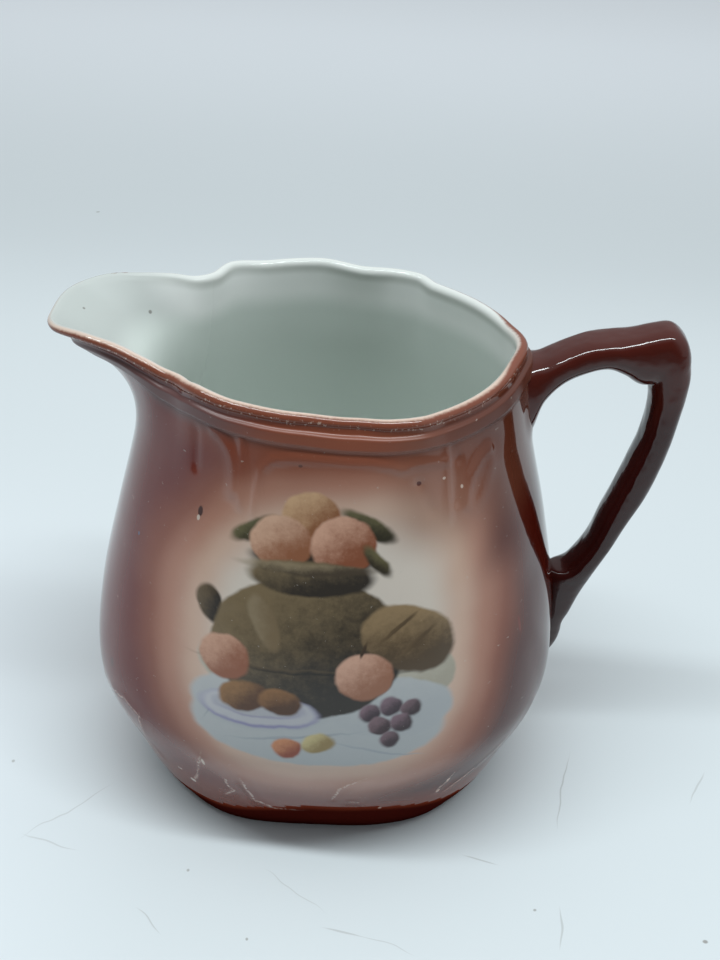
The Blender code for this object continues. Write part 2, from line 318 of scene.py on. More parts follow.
# Low scrolls over the foot: places are (degrees round, height)
FOOT_SCROLLS = [
    [(61.7, 36), (58.3, 24.3), (55.5, 18.5)],
    [(66.5, 27), (66.3, 23.0), (67.6, 20.5), (64.8, 16.6)],
    [(71.0, 29), (71.4, 23.9), (73.2, 17.4), (78, 14.6)],
    [(77.5, 14.4), (82, 14.2), (87.1, 14.4)],
    [(102.4, 34.5), (99.0, 31.8), (96.7, 28.6), (95.2, 22.7)],
    [(99.6, 20.6), (102.1, 20.3)],
    [(126.2, 29), (125.6, 25.0), (124.3, 19.5)],
    [(141, 33), (137.2, 27.5), (132.0, 22.0), (127.5, 18.0)],
    [(34.5, 41), (40.0, 43.0), (45.0, 41.0), (44.0, 33.0), (41.5, 27.0), (44.0, 20.0)],
    [(27, 39), (32.0, 33), (37.0, 26), (42.0, 19.0)],
    [(150, 40), (146, 32), (143.0, 24)],
]


def foot_relief(degrees, height):
    lift = np.zeros(np.broadcast(degrees, height).shape)
    for line in FOOT_SCROLLS:
        distance = away(degrees, height, line, FOOT_DEGREE)
        lift = np.maximum(lift, FOOT_SCROLL_LIFT * bump(distance, FOOT_SCROLL_WIDTH))
    return lift


def ramp(value, zone):
    """0 up to the zone's start, 1 past its length, smooth between."""
    start, length = zone
    return smoothstep((value - start) / length)


def form_relief(degrees, depth, up):
    """Broad unevenness of the hand-finished body, in millimetres."""
    reach = ramp(depth, CORNER_TOP) * (1 - ramp(depth, CORNER_END))
    place = CORNER_PLACE + CORNER_DRIFT * depth
    corner = CORNER_LIFT * bump(degrees - place, CORNER_WIDTH) * reach
    left_degrees, left_height = LEFT_PLACE
    left = LEFT_LIFT * bump(degrees - left_degrees, LEFT_WIDTH) * bump(up - left_height, LEFT_WIDTH)
    right_height, right_width = RIGHT_HEIGHT
    right = RIGHT_LIFT * ramp(degrees, RIGHT_DEGREES) * bump(up - right_height, right_width)
    foot = sum(lift * bump(degrees - place, width) for lift, place, width in FOOT_LIFTS)
    return corner + left + right + foot * (1 - smoothstep(up / FOOT_LIFT_TOP))


def relief(angle, height):
    """Height in metres of all the low relief on the outer wall."""
    degrees = np.degrees(np.abs(angle))
    depth = (LIP_HEIGHT - height) * 1000
    up = height * 1000
    start = smoothstep((depth - MOULDING_TOP) / MOULDING_START)
    fade = start * (1 - smoothstep((depth - MOULDING_END) / MOULDING_FADE))
    lift = shoulder_relief(degrees, depth) * fade + foot_relief(degrees, up)
    return (lift + form_relief(degrees, depth, up)) / 1000


def column_angles():
    """Angles round the body, closer together at the spout."""
    share = np.linspace(-1, 1, COLUMNS, endpoint=False)
    return np.pi * (COLUMN_EVEN * share + (1 - COLUMN_EVEN) * share ** 3)


def inset(ring, distance, height):
    radius = np.linalg.norm(ring[:, :2], axis=1, keepdims=True)
    flat = ring[:, :2] * (1 - distance / radius)
    return np.column_stack([flat, np.full(len(ring), height)])


class Rings:
    """Rings of a surface with the values that its materials read at each point."""

    def __init__(self, angle):
        self.angle = angle
        self.rings = []
        self.values = []

    def add(self, ring, turn, depth, under=0.0, along=0.0):
        row = np.zeros((len(ring), 5))
        row[:, 0] = turn
        row[:, 1] = depth * 1000
        row[:, 2] = np.degrees(np.abs(self.angle))
        row[:, 3] = under
        row[:, 4] = along
        self.rings.append(ring)
        self.values.append(row)


def body_surface():
    """The body from the middle of its underside over the lip to the middle of its floor."""
    angle = column_angles()
    out = Rings(angle)

    def outer(height):
        point, normal, _ = wall_frame(angle, height)
        thick = half_wall(angle, height)[:, 0] + band(LIP_HEIGHT - height) + relief(angle, height)
        return point + thick[:, None] * normal

    foot = outer(FOOT_BEVEL)
    recess = inset(foot, FOOT_RING + RECESS_SLOPE, FOOT_RECESS)
    for share in np.linspace(0.2, 0.8, 4):
        out.add(recess * (share, share, 1.0), 0.0, LIP_HEIGHT, 1.0)
    out.add(recess, 0.0, LIP_HEIGHT, 1.0)
    for share in (0.75, 0.5, 0.25):
        edge = inset(foot, FOOT_RING + RECESS_SLOPE * share, FOOT_RECESS * smoothstep(share))
        out.add(edge, 0.0, LIP_HEIGHT, 1.0)
    for share in np.linspace(FOOT_RING, 2 * FOOT_BEVEL, 4):
        out.add(inset(foot, share, 0.0), 0.0, LIP_HEIGHT, 1.0)
    for turn in np.linspace(0, np.pi / 2, 5)[:-1]:
        edge = inset(foot, FOOT_BEVEL * (1 - np.sin(turn)), FOOT_BEVEL * (1 - np.cos(turn)))
        out.add(edge, 0.0, LIP_HEIGHT)

    band_end = BAND_BOTTOM + 2 * BAND_EDGE
    rows = np.linspace(FOOT_BEVEL, LIP_HEIGHT - band_end, BODY_ROWS, endpoint=False)
    depths = np.linspace(band_end, 0, BAND_DEPTHS + 1)
    for height in np.concatenate([rows, LIP_HEIGHT - depths]):
        out.add(outer(height), 0.0, LIP_HEIGHT - height)

    point, normal, up = wall_frame(angle, LIP_HEIGHT)
    half = half_wall(angle, LIP_HEIGHT)
    for turn in np.linspace(0, np.pi, ROLL_ROWS + 1)[1:-1]:
        out.add(point + half * (np.cos(turn) * normal + np.sin(turn) * up), turn / np.pi, 0.0)

    floor = FOOT_RECESS + FLOOR
    corner = floor + CORNER_HEIGHT
    for depth in (LIP_HEIGHT - corner) * np.linspace(0, 1, INNER_ROWS + 1) ** 1.4:
        point, normal, _ = wall_frame(angle, LIP_HEIGHT - depth)
        out.add(point - half_wall(angle, LIP_HEIGHT - depth) * normal, 1.0, depth)
    wall = out.rings[-1]
    for turn in np.linspace(0, np.pi / 2, CORNER_ROWS + 1)[1:]:
        height = corner - (corner - floor) * np.sin(turn)
        out.add(inset(wall, CORNER_REACH * (1 - np.cos(turn)), height), 1.0, LIP_HEIGHT - height)
    edge = out.rings[-1]
    for share in np.linspace(1, 0, FLOOR_RINGS + 2)[1:-1]:
        out.add(edge * (share, share, 1.0), 1.0, LIP_HEIGHT - floor)
    return out


def wall_x(y, z):
    half, half_depth, square = section(np.clip(z, 0.0, LIP_HEIGHT))
    return half * (1 - np.abs(y / half_depth) ** square) ** (1 / square)


def handle_edge(out, up):
    z = HANDLE_LOW + up * (LIP_HEIGHT + HANDLE_LIFT - HANDLE_LOW)
    x = wall_x(0.0, z) + out * HANDLE_REACH
    return np.column_stack([x, 0 * x, z])


def handle_surface():
    """Sections between the handle's two edges, kept out of the hollow."""
    table = np.array(HANDLE_EDGES)
    knots = np.arange(len(table))
    at = np.linspace(0, len(table) - 1, HANDLE_STATIONS)
    columns = [curve(np.column_stack([knots, column]), at) for column in table.T]
    outer = handle_edge(columns[0], columns[1])
    inner = handle_edge(columns[2], columns[3])
    turns = np.linspace(0, 2 * np.pi, HANDLE_SIDES, endpoint=False)
    inner_corner = np.cos(turns) < 0
    power = 2 / np.where(inner_corner, HANDLE_ROUND, HANDLE_SQUARE)
    across = np.sign(np.cos(turns)) * np.abs(np.cos(turns)) ** power
    level = np.sign(np.sin(turns)) * np.abs(np.sin(turns)) ** power
    out = Rings(0 * turns + np.pi)
    for share, high, low, wide in zip(at / at[-1], outer, inner, columns[4]):
        ring = (high + low) / 2 + np.outer(across, (high - low) / 2)
        ring[:, 1] += level * wide * HANDLE_WIDTH / 2
        ring[:, 0] = np.maximum(ring[:, 0], wall_x(ring[:, 1], ring[:, 2]))
        out.add(ring, 0.0, 0.05, 0.0, share)
    return out


def add_skin(bm, rings, ends):
    """Adds a closed skin over rings to the mesh and returns its vertices ring by ring."""
    loops = [[bm.verts.new(point) for point in ring] for ring in rings]
    for low, high in zip(loops, loops[1:]):
        for i in range(len(low)):
            j = (i + 1) % len(low)
            bm.faces.new((low[i], low[j], high[j], high[i]))
    for loop, point in zip((loops[0], loops[-1]), ends):
        centre = bm.verts.new(point)
        for i in range(len(loop)):
            bm.faces.new((loop[i], loop[(i + 1) % len(loop)], centre))
    return loops


# Values at each vertex that the materials read: turn over the lip, from 0 outside to 1 inside;
# depth under the lip in millimetres; degrees round from the spout; 1 on the underside; share
# along the handle; 1 on the handle
VALUES = ("turn", "depth", "around", "under", "along", "grip")
FILLET = 0.0042
FILLET_SWELL = 0.2
POLE_EDGES = 40


def soften_joint(verts_a, verts_b, surface_a, surface_b):
    """Swells two skins towards each other where they meet, as glaze and slip do."""
    moved = []
    for verts, other in ((verts_a, surface_b), (verts_b, surface_a)):
        for vert in verts:
            place, _, _, distance = other.find_nearest(vert.co, FILLET)
            if place is not None:
                swell = (1 - distance / FILLET) ** 2 * FILLET * FILLET_SWELL
                moved.append((vert, vert.normal * swell))
    for vert, shift in moved:
        vert.co += shift


def build_pitcher():
    body = body_surface()
    grip = handle_surface()
    bm = bmesh.new()
    layers = [bm.verts.layers.float.new(name) for name in VALUES]
    centre = [0.0, 0.0, body.rings[0][0, 2]]
    floor = [0.0, 0.0, body.rings[-1][0, 2]]
    body_loops = add_skin(bm, body.rings, (centre, floor))
    body_faces = set(bm.faces)
    ends = (grip.rings[0].mean(axis=0), grip.rings[-1].mean(axis=0))
    grip_loops = add_skin(bm, grip.rings, ends)
    bmesh.ops.recalc_face_normals(bm, faces=bm.faces)
    bm.normal_update()
    bm.verts.ensure_lookup_table()

    def tree(faces):
        index = {}
        points = []
        polygons = []
        for face in faces:
            polygon = []
            for vert in face.verts:
                if vert not in index:
                    index[vert] = len(points)
                    points.append(vert.co.copy())
                polygon.append(index[vert])
            polygons.append(polygon)
        return BVHTree.FromPolygons(points, polygons)

    body_tree = tree(body_faces)
    grip_tree = tree([face for face in bm.faces if face not in body_faces])
    outside = [vert for loop, row in zip(body_loops, body.values) if row[0, 0] < 0.3 and row[0, 3] < 0.5
               for vert in loop if vert.co.x > 0]
    grip_verts = [vert for loop in grip_loops for vert in loop]
    soften_joint(outside, grip_verts, body_tree, grip_tree)

    for loops, rows, is_grip in ((body_loops, body.values, 0.0), (grip_loops, grip.values, 1.0)):
        for loop, row in zip(loops, rows):
            for vert, value in zip(loop, row):
                for layer, number in zip(layers, (*value, is_grip)):
                    vert[layer] = number
    for vert in bm.verts:
        if len(vert.link_edges) > POLE_EDGES:
            near = vert.link_edges[0].other_vert(vert)
            for layer in layers:
                vert[layer] = near[layer]
    bm.transform(Matrix.Translation((AXIS_X, 0, 0)))
    low, high = cad_box
    for vert in bm.verts:
        vert.co = [min(max(value, a), b) for value, a, b in zip(vert.co, low, high)]
    mesh = bpy.data.meshes.new("glazed_pitcher")
    bm.to_mesh(mesh)
    bm.free()
    mesh.shade_smooth()
    thing = bpy.data.objects.new("glazed_pitcher", mesh)
    bpy.context.collection.objects.link(thing)
    return thing


class Graph:
    """Short names for building a material's nodes."""

    def __init__(self, tree):
        self.nodes = tree.nodes
        self.links = tree.links

    def put(self, socket, value):
        if isinstance(value, bpy.types.NodeSocket):
            self.links.new(value, socket)
        elif value is not None:
            socket.default_value = value

    def math(self, operation, a, b=None, c=None):
        node = self.nodes.new("ShaderNodeMath")
        node.operation = operation
        for socket, value in zip(node.inputs, (a, b, c)):
            self.put(socket, value)
        return node.outputs[0]

    def both(self, first, *others):
        """Product of masks or numbers."""
        for other in others:
            first = self.math("MULTIPLY", first, other)
        return first

    def centred(self, noise, reach):
        """Noise made to swing round 0, by the reach from end to end."""
        return self.math("MULTIPLY_ADD", noise, reach, -reach / 2)

    def step(self, value, low, high):
        """0 below low, 1 above high, smooth between; low may be the greater."""
        node = self.nodes.new("ShaderNodeMapRange")
        node.interpolation_type = "SMOOTHSTEP"
        self.put(node.inputs["Value"], value)
        self.put(node.inputs["From Min"], low)
        self.put(node.inputs["From Max"], high)
        return node.outputs["Result"]

    def mix(self, factor, a, b):
        node = self.nodes.new("ShaderNodeMix")
        node.data_type = "RGBA"
        self.put(node.inputs[0], factor)
        for socket, value in ((node.inputs[6], a), (node.inputs[7], b)):
            self.put(socket, value if isinstance(value, bpy.types.NodeSocket) else (*value, 1.0))
        return node.outputs[2]

    def blend_number(self, factor, a, b):
        node = self.nodes.new("ShaderNodeMix")
        self.put(node.inputs[0], factor)
        self.put(node.inputs[2], a)
        self.put(node.inputs[3], b)
        return node.outputs[0]

    def noise(self, vector, scale, detail=2.0, roughness=0.5, distortion=0.0):
        node = self.nodes.new("ShaderNodeTexNoise")
        self.put(node.inputs["Vector"], vector)
        self.put(node.inputs["Scale"], scale)
        self.put(node.inputs["Detail"], detail)
        self.put(node.inputs["Roughness"], roughness)
        self.put(node.inputs["Distortion"], distortion)
        return node.outputs["Fac"]

    def wander(self, vector, scale):
        """Smooth offsets between -0.5 and 0.5 on each axis."""
        node = self.nodes.new("ShaderNodeTexNoise")
        self.put(node.inputs["Vector"], vector)
        self.put(node.inputs["Scale"], scale)
        return self.vector("SUBTRACT", node.outputs["Color"], (0.5, 0.5, 0.5))

    def vector(self, operation, a, b=None):
        node = self.nodes.new("ShaderNodeVectorMath")
        node.operation = operation
        for socket, value in zip(node.inputs, (a, b)):
            self.put(socket, value)
        return node.outputs["Value" if operation in ("DOT_PRODUCT", "LENGTH") else "Vector"]

    def after(self, vector, colour):
        """The same vector, but worked out after the colour: a long chain then fits a renderer's memory."""
        return self.vector("ADD", vector, self.vector("MULTIPLY", colour, (1e-6, 1e-6, 0.0)))

    def scale(self, vector, factor):
        node = self.nodes.new("ShaderNodeVectorMath")
        node.operation = "SCALE"
        self.put(node.inputs[0], vector)
        self.put(node.inputs["Scale"], factor)
        return node.outputs["Vector"]

    def parts(self, vector):
        node = self.nodes.new("ShaderNodeSeparateXYZ")
        self.put(node.inputs[0], vector)
        return list(node.outputs)

    def combine(self, *values):
        node = self.nodes.new("ShaderNodeCombineXYZ")
        for socket, value in zip(node.inputs, values):
            self.put(socket, value)
        return node.outputs[0]

    def oval(self, place, centre, radii, degrees=0.0):
        """Place seen from an oval: its own coordinates, with length 1 on the outline."""
        node = self.nodes.new("ShaderNodeMapping")
        node.vector_type = "TEXTURE"
        self.put(node.inputs["Vector"], place)
        node.inputs["Location"].default_value = (*centre, 0.0)
        node.inputs["Rotation"].default_value = (0.0, 0.0, math.radians(degrees))
        node.inputs["Scale"].default_value = (*radii, 1.0)
        return node.outputs[0]

    def attribute(self, name):
        node = self.nodes.new("ShaderNodeAttribute")
        node.attribute_name = name
        return node.outputs["Fac"]

    def place(self):
        """Object coordinates in millimetres, and their three parts."""
        where = self.nodes.new("ShaderNodeTexCoord")
        scaled = self.scale(where.outputs["Object"], 1000)
        return scaled, *self.parts(scaled)


# A zone is a pair of values: its mask is 0 at the first, 1 at the second and smooth between.
# Lengths in materials are millimetres: x from the body's axis, z from the floor.

# Vignette of the sprayed colour on each side
OVAL_X = 1.2
OVAL_Z = 73.0
OVAL_HALF_X = 40.0
OVAL_HALF_Z = 41.5
OVAL_RISE = 46.0
OVAL_JOIN = 5.0
OVAL_POWER = 2.5
OVAL_LEAN = 0.15
OVAL_DRIFT = 0.16
LEAN_ZONE = (70.0, 110.0)
SPRAY_PALE = (0.66, 0.585, 0.51)
SPRAY = [((0.62, 0.88), (0.58, 0.40, 0.31)),
         ((0.84, 1.02), (0.41, 0.205, 0.145)),
         ((0.98, 1.16), (0.25, 0.085, 0.052))]
MAROON_ZONE = (1.08, 1.34)
MAROON_SIDES = (-35.0, 35.0)
MAROON_LEFT = (0.125, 0.010, 0.005)
MAROON_RIGHT = (0.062, 0.006, 0.003)

# Deeper colour towards the handle, the neck and the foot, and a painted grey reflection on the band under
# the lip
RIGHT_X = (36.0, 46.0)
RIGHT_Z = (84.0, 98.0)
RIGHT_SHARE = 0.75
NECK_Z = (118.0, 130.0)
NECK_X = (32.0, 14.0)
NECK_OVAL = (1.6, 1.25)
NECK_BROWN = (0.26, 0.080, 0.043)
NECK_SHARE = 0.8
LOW_Z = (26.0, 15.0)
LOW_BROWN = (0.17, 0.030, 0.014)
# Painted reflection: a grey-mauve veil for the pale room mirrored in the band under the lip, towards the
# spout
PAINTED_REFLECTION_GREY_AROUND = (75.0, 50.0)
PAINTED_REFLECTION_GREY_TOP = (1.2, 2.2)
PAINTED_REFLECTION_GREY_END = (10.0, 6.0)
PAINTED_REFLECTION_GREY = (0.12, 0.080, 0.078)
PAINTED_REFLECTION_GREY_SHARE = 0.6
SIDE_NECK_X = (10.0, 24.0)
SIDE_NECK_Z = (96.0, 110.0)
SIDE_NECK_BROWN = (0.17, 0.060, 0.032)
SIDE_NECK_SHARE = 0.4
FRONT_Y = (-12.0, -20.0)

# Dark foot and handle
FOOT_MAROON = (0.050, 0.006, 0.004)
FOOT_TOP = 14.6
FOOT_SOFT = (2.6, -0.6)
FOOT_LEFT_FALL = 8.2
FOOT_LEFT_AROUND = (90.0, 58.0)
FOOT_RIGHT_FALL = 5.8
FOOT_RIGHT_AROUND = (104.0, 138.0)
MATT_RISE = 2.5
HANDLE_MAROON = (0.066, 0.010, 0.006)
LEG_MAROON = (0.034, 0.006, 0.005)
LEG_ALONG = (0.42, 0.55)

# Worn scrolls over the foot
SCROLL_PALE = (0.70, 0.56, 0.48)
SCROLL_HALF = 0.33
SCROLL_EDGE = (1.6, 0.5)
SCROLL_BEND = (1.4, 1.4, 0.0)
SCROLL_RUBBED = (0.36, 0.60)
SCROLL_SHARE = 0.55

# Lip: brown outside, cream on top, white inside, with painted light in a band under the rim and painted
# shade deeper down and in the spout
LIP_BROWN = (0.20, 0.058, 0.032)
LIP_DEPTH = (1.6, 0.6)
LIP_EDGE = (0.22, 0.46)
LIP_GRAIN = 0.16
LIP_WORN = (0.60, 0.46, 0.38)
WORN_GRAIN = (0.58, 0.64)
WORN_TURN = (0.16, 0.02)
WORN_SHARE = 0.8
FAR_Y = (0.0, 25.0)
FAR_X = (35.0, 8.0)
CHIP_NOISE = (0.50, 0.55)
CHIP_AROUND = (26.0, 16.0)
CHIP_MOVE = 0.60
FAR_MOVE = -0.26
HANDLE_AROUND = (150.0, 172.0)
HANDLE_MOVE = 0.26
LIP_MOVE = 0.02
LIP_CREAM = (0.66, 0.50, 0.41)
CREAM_RIM = (0.8, 0.42)
CREAM_Y = (20.0, -20.0)
EDGE_WHITE = (0.70, 0.72, 0.69)
# Painted light: the inside just under the rim, paler than the rim's white
UPPER_PAINTED_LIGHT_WHITE = (0.97, 0.985, 0.965)
UPPER_DEPTH = (0.3, 3.0)
# Painted shade: greyer white in the spout's hollow
SPOUT_PAINTED_SHADE_WHITE = (0.49, 0.52, 0.50)
SPOUT_AROUND = (15.0, 34.0)
SPOUT_PAINTED_SHADE_WHITE_DEPTH = (-3.0, 0.8)
# Painted shade: deeper inside, greyer than the painted light band above
DEEP_PAINTED_SHADE_WHITE = (0.73, 0.785, 0.745)
DEEP_DEPTH = (7.0, 15.0)
UNDER_WHITE = (0.70, 0.70, 0.64)

# Gloss: duller in the spout and on the moulded band
DULL_TURN = (0.5, 0.9)
DULL_AROUND = (46.0, 30.0)
DULL_ROUGHNESS = 0.42
BAND_TOP_DEPTH = (1.8, 2.6)
BAND_END_DEPTH = (8.0, 6.5)
BAND_TURN = (0.5, 0.2)
BAND_DULL = 0.75
SMOOTH_ROUGHNESS = 0.035
UNEVEN_ROUGHNESS = 0.03
GLAZE_IOR = 1.5
RIPPLE_DEPTH = 0.0002
RIPPLE_STRENGTH = 0.25
GRIP_WAVES = 7.0
GRIP_GRAIN = 0.2

# A painted still life in the pale oval: ovals as (x, z, half width, half height, turn, light, dark)
STILL_LIFE = [
    (-21, 70, 10, 7, 0, (0.47, 0.44, 0.37), (0.40, 0.37, 0.30)),
    (27, 68, 8, 7, 0, (0.47, 0.44, 0.37), (0.38, 0.35, 0.28)),
    (0, 53, 33, 12.5, 0, (0.46, 0.475, 0.48), (0.42, 0.44, 0.45)),
    (-13, 60, 20, 9, 4, (0.47, 0.48, 0.485), (0.42, 0.44, 0.45)),
    (18, 60, 17, 9, -6, (0.46, 0.475, 0.48), (0.41, 0.43, 0.445)),
    (-6, 50, 15, 0.45, 9, (0.36, 0.385, 0.41), (0.33, 0.36, 0.39)),
    (15, 46.5, 11, 0.4, -14, (0.37, 0.395, 0.42), (0.34, 0.37, 0.40)),
    (-26, 58, 7, 0.4, 62, (0.37, 0.39, 0.41), (0.35, 0.37, 0.40)),
    (-28, 84, 3.4, 5.0, 20, (0.13, 0.09, 0.05), (0.03, 0.024, 0.02)),
    (-3, 76, 24.5, 19.5, 0, (0.20, 0.145, 0.08), (0.028, 0.022, 0.017)),
    (-14, 82, 3.2, 7.5, 24, (0.26, 0.20, 0.125), (0.19, 0.135, 0.075)),
    (-3, 70, 23.6, 0.7, 0, (0.10, 0.07, 0.04), (0.022, 0.018, 0.014)),
    (-3, 99.5, 15.0, 3.6, 0, (0.06, 0.042, 0.028), (0.02, 0.015, 0.012)),
    (-17, 106, 7.0, 2.4, 30, (0.135, 0.12, 0.06), (0.035, 0.03, 0.018)),
    (10.5, 109, 7.5, 2.3, -32, (0.125, 0.11, 0.055), (0.035, 0.03, 0.018)),
    (-3.5, 111, 7.2, 6.2, 0, (0.60, 0.38, 0.22), (0.25, 0.10, 0.045)),
    (-10.5, 103.5, 7.6, 7.0, 0, (0.64, 0.40, 0.28), (0.28, 0.11, 0.055)),
    (4.5, 104, 8.0, 7.4, 0, (0.64, 0.37, 0.26), (0.24, 0.08, 0.04)),
    (-3, 95, 15.4, 4.6, 0, (0.19, 0.14, 0.08), (0.035, 0.028, 0.022)),
    (-3, 97.4, 15.8, 1.5, 0, (0.27, 0.21, 0.13), (0.07, 0.052, 0.035)),
    (13, 100, 5.0, 1.9, -48, (0.14, 0.12, 0.06), (0.04, 0.032, 0.02)),
    (22, 79, 12.5, 8.5, -24, (0.30, 0.205, 0.11), (0.085, 0.055, 0.03)),
    (19, 82, 5.5, 0.7, 40, (0.13, 0.085, 0.045), (0.10, 0.065, 0.035)),
    (24, 78, 5.5, 0.7, 40, (0.13, 0.085, 0.045), (0.10, 0.065, 0.035)),
    (11.5, 69, 7.4, 6.6, 0, (0.62, 0.37, 0.27), (0.30, 0.13, 0.075)),
    (11.0, 76.5, 0.5, 2.2, -18, (0.07, 0.045, 0.025), (0.05, 0.03, 0.02)),
    (-24, 71, 6.6, 6.2, 0, (0.58, 0.34, 0.24), (0.27, 0.10, 0.055)),
    (-15, 57.3, 15.6, 5.3, 0, (0.30, 0.29, 0.43), (0.23, 0.22, 0.38)),
    (-15, 57.6, 15.0, 4.8, 0, (0.52, 0.52, 0.54), (0.46, 0.46, 0.49)),
    (-15, 58.2, 11.6, 3.2, 0, (0.30, 0.29, 0.40), (0.26, 0.25, 0.37)),
    (-15, 58.4, 11.2, 3.0, 0, (0.47, 0.47, 0.49), (0.42, 0.42, 0.45)),
    (-19, 61, 6.6, 4.4, 12, (0.29, 0.15, 0.06), (0.09, 0.038, 0.018)),
    (-9.5, 60.5, 5.6, 4.0, -8, (0.27, 0.13, 0.05), (0.08, 0.034, 0.016)),
    (13.5, 58.5, 2.9, 2.8, 0, (0.22, 0.14, 0.17), (0.04, 0.024, 0.034)),
    (18.8, 60.5, 2.9, 2.8, 0, (0.20, 0.13, 0.16), (0.04, 0.024, 0.034)),
    (24.0, 59.5, 2.8, 2.7, 0, (0.19, 0.12, 0.14), (0.04, 0.024, 0.03)),
    (16.3, 54.6, 2.9, 2.8, 0, (0.22, 0.14, 0.16), (0.045, 0.024, 0.03)),
    (21.6, 55.2, 2.9, 2.8, 0, (0.21, 0.13, 0.16), (0.04, 0.024, 0.03)),
    (19.0, 50.2, 2.7, 2.6, 0, (0.19, 0.12, 0.14), (0.04, 0.022, 0.03)),
    (0.5, 48.5, 4.5, 3.2, 14, (0.56, 0.47, 0.24), (0.28, 0.20, 0.08)),
    (-7.5, 46.0, 3.9, 3.5, 0, (0.58, 0.25, 0.12), (0.26, 0.06, 0.03)),
]
PAINT_LIGHT = (-0.55, 0.62, 0.0)
PAINT_TONE = (0.85, -0.55)
PAINT_EDGE = 0.55
PAINT_EDGE_MOST = 0.45
PAINT_HAND = (2.0, 2.0, 0.0)
PAINT_FLAW = (0.66, 0.69)
PAINT_FLAW_SHARE = 0.55
PAINT_FLAW_PALE = (0.55, 0.50, 0.44)

# Small marks in the glaze: (degrees round, height, half width in degrees, half height, colour)
MARKS = [
    (54.0, 105.9, 0.75, 1.35, (0.05, 0.012, 0.008)),
    (53.7, 104.1, 0.5, 0.7, (0.55, 0.45, 0.38)),
    (34.0, 50.4, 0.7, 1.5, (0.06, 0.012, 0.008)),
    (133.4, 26.9, 1.5, 0.8, (0.04, 0.006, 0.004)),
    (82.1, 123.8, 0.6, 0.35, (0.12, 0.04, 0.025)),
    (116.3, 118.4, 0.7, 0.6, (0.10, 0.02, 0.012)),
    (124.2, 118.3, 0.5, 0.35, (0.60, 0.46, 0.38)),
    (130.2, 114.7, 0.4, 0.5, (0.60, 0.46, 0.38)),
    (144.0, 71.5, 0.45, 2.4, (0.16, 0.03, 0.02)),
    (33.4, 90.1, 0.4, 0.5, (0.10, 0.10, 0.16)),
    (54.9, 17.6, 0.9, 0.8, (0.75, 0.66, 0.58)),
    (51.3, 20.6, 0.8, 0.35, (0.66, 0.55, 0.48)),
    (125.9, 25.4, 0.45, 1.1, (0.66, 0.48, 0.40)),
    (124.6, 19.8, 0.45, 0.9, (0.66, 0.48, 0.40)),
    (108.9, 15.9, 0.5, 0.4, (0.66, 0.45, 0.36)),
    (62.0, 33.5, 0.35, 1.6, (0.62, 0.50, 0.42)),
]
MARK_EDGE = (1.25, 0.75)

# Specks fired into the hollow: place in the row's frame in millimetres, radius
SPECKS = [((-76.9, 5.3, 135.2), 0.5), ((-61.2, 15.2, 130.3), 0.7)]
SPECK_GREY = (0.25, 0.25, 0.23)

# Shapes laid side by side before the next waits for the last, within a renderer's memory
GROUP = 6


def foot_top(degrees):
    """Height in millimetres of the dark foot's upper edge."""
    left_start, left_end = FOOT_LEFT_AROUND
    right_start, right_end = FOOT_RIGHT_AROUND
    left = FOOT_LEFT_FALL * smoothstep((left_start - degrees) / (left_start - left_end))
    right = FOOT_RIGHT_FALL * smoothstep((degrees - right_start) / (right_end - right_start))
    return FOOT_TOP - left - right


def new_material(name):
    """A material with its graph and its Principled shader."""
    material = bpy.data.materials.new(name)
    material.use_nodes = True
    graph = Graph(material.node_tree)
    return material, graph, graph.nodes["Principled BSDF"]


def paint(g, place, ground):
    """Lays the still life over the ground colour, oval by oval."""
    grain = g.noise(place, 0.9, 4.0, 0.65)
    rough = g.noise(place, 0.25, 3.0, 0.6)
    hand = g.vector("ADD", place, g.vector("MULTIPLY", g.wander(place, 0.16), PAINT_HAND))
    tone = g.math("ADD", g.centred(grain, 0.5), g.centred(rough, 0.9))
    colour = ground
    for count, (x, z, half_width, half_height, degrees, light, dark) in enumerate(STILL_LIFE):
        if count % GROUP == GROUP - 1:
            hand = g.after(hand, colour)
        own = g.oval(hand, (x, z), (half_width, half_height), degrees)
        edge = min(PAINT_EDGE_MOST, PAINT_EDGE / min(half_width, half_height))
        inside = g.step(g.vector("LENGTH", own), 1 + edge, 1 - edge)
        lit = g.math("ADD", g.vector("DOT_PRODUCT", own, PAINT_LIGHT), tone)
        colour = g.mix(inside, colour, g.mix(g.step(lit, *PAINT_TONE), light, dark))
    flaw = g.step(g.noise(place, 0.55, 5.0, 0.75), *PAINT_FLAW)
    return g.mix(g.both(flaw, PAINT_FLAW_SHARE), colour, PAINT_FLAW_PALE)


def sprayed_ground(g, from_axis, z, soft):
    """Maroon sprayed round a pale oval, and each point's distance from the oval's middle."""
    across = g.math("DIVIDE", g.math("SUBTRACT", from_axis, OVAL_X), OVAL_HALF_X)
    lean = g.both(g.both(from_axis, OVAL_LEAN), g.step(z, *LEAN_ZONE))
    reach = g.blend_number(g.step(z, OVAL_Z - OVAL_JOIN, OVAL_Z + OVAL_JOIN), OVAL_HALF_Z, OVAL_RISE)
    upright = g.math("DIVIDE", g.math("SUBTRACT", g.math("SUBTRACT", z, OVAL_Z), lean), reach)
    powers = [g.math("POWER", g.math("ABSOLUTE", part), OVAL_POWER) for part in (across, upright)]
    oval = g.math("POWER", g.math("ADD", *powers), 1 / OVAL_POWER)
    oval = g.math("ADD", oval, g.centred(soft, OVAL_DRIFT))
    body = SPRAY_PALE
    for zone, colour in SPRAY:
        body = g.mix(g.step(oval, *zone), body, colour)
    maroon = g.mix(g.step(from_axis, *MAROON_SIDES), MAROON_LEFT, MAROON_RIGHT)
    return g.mix(g.step(oval, *MAROON_ZONE), body, maroon), oval


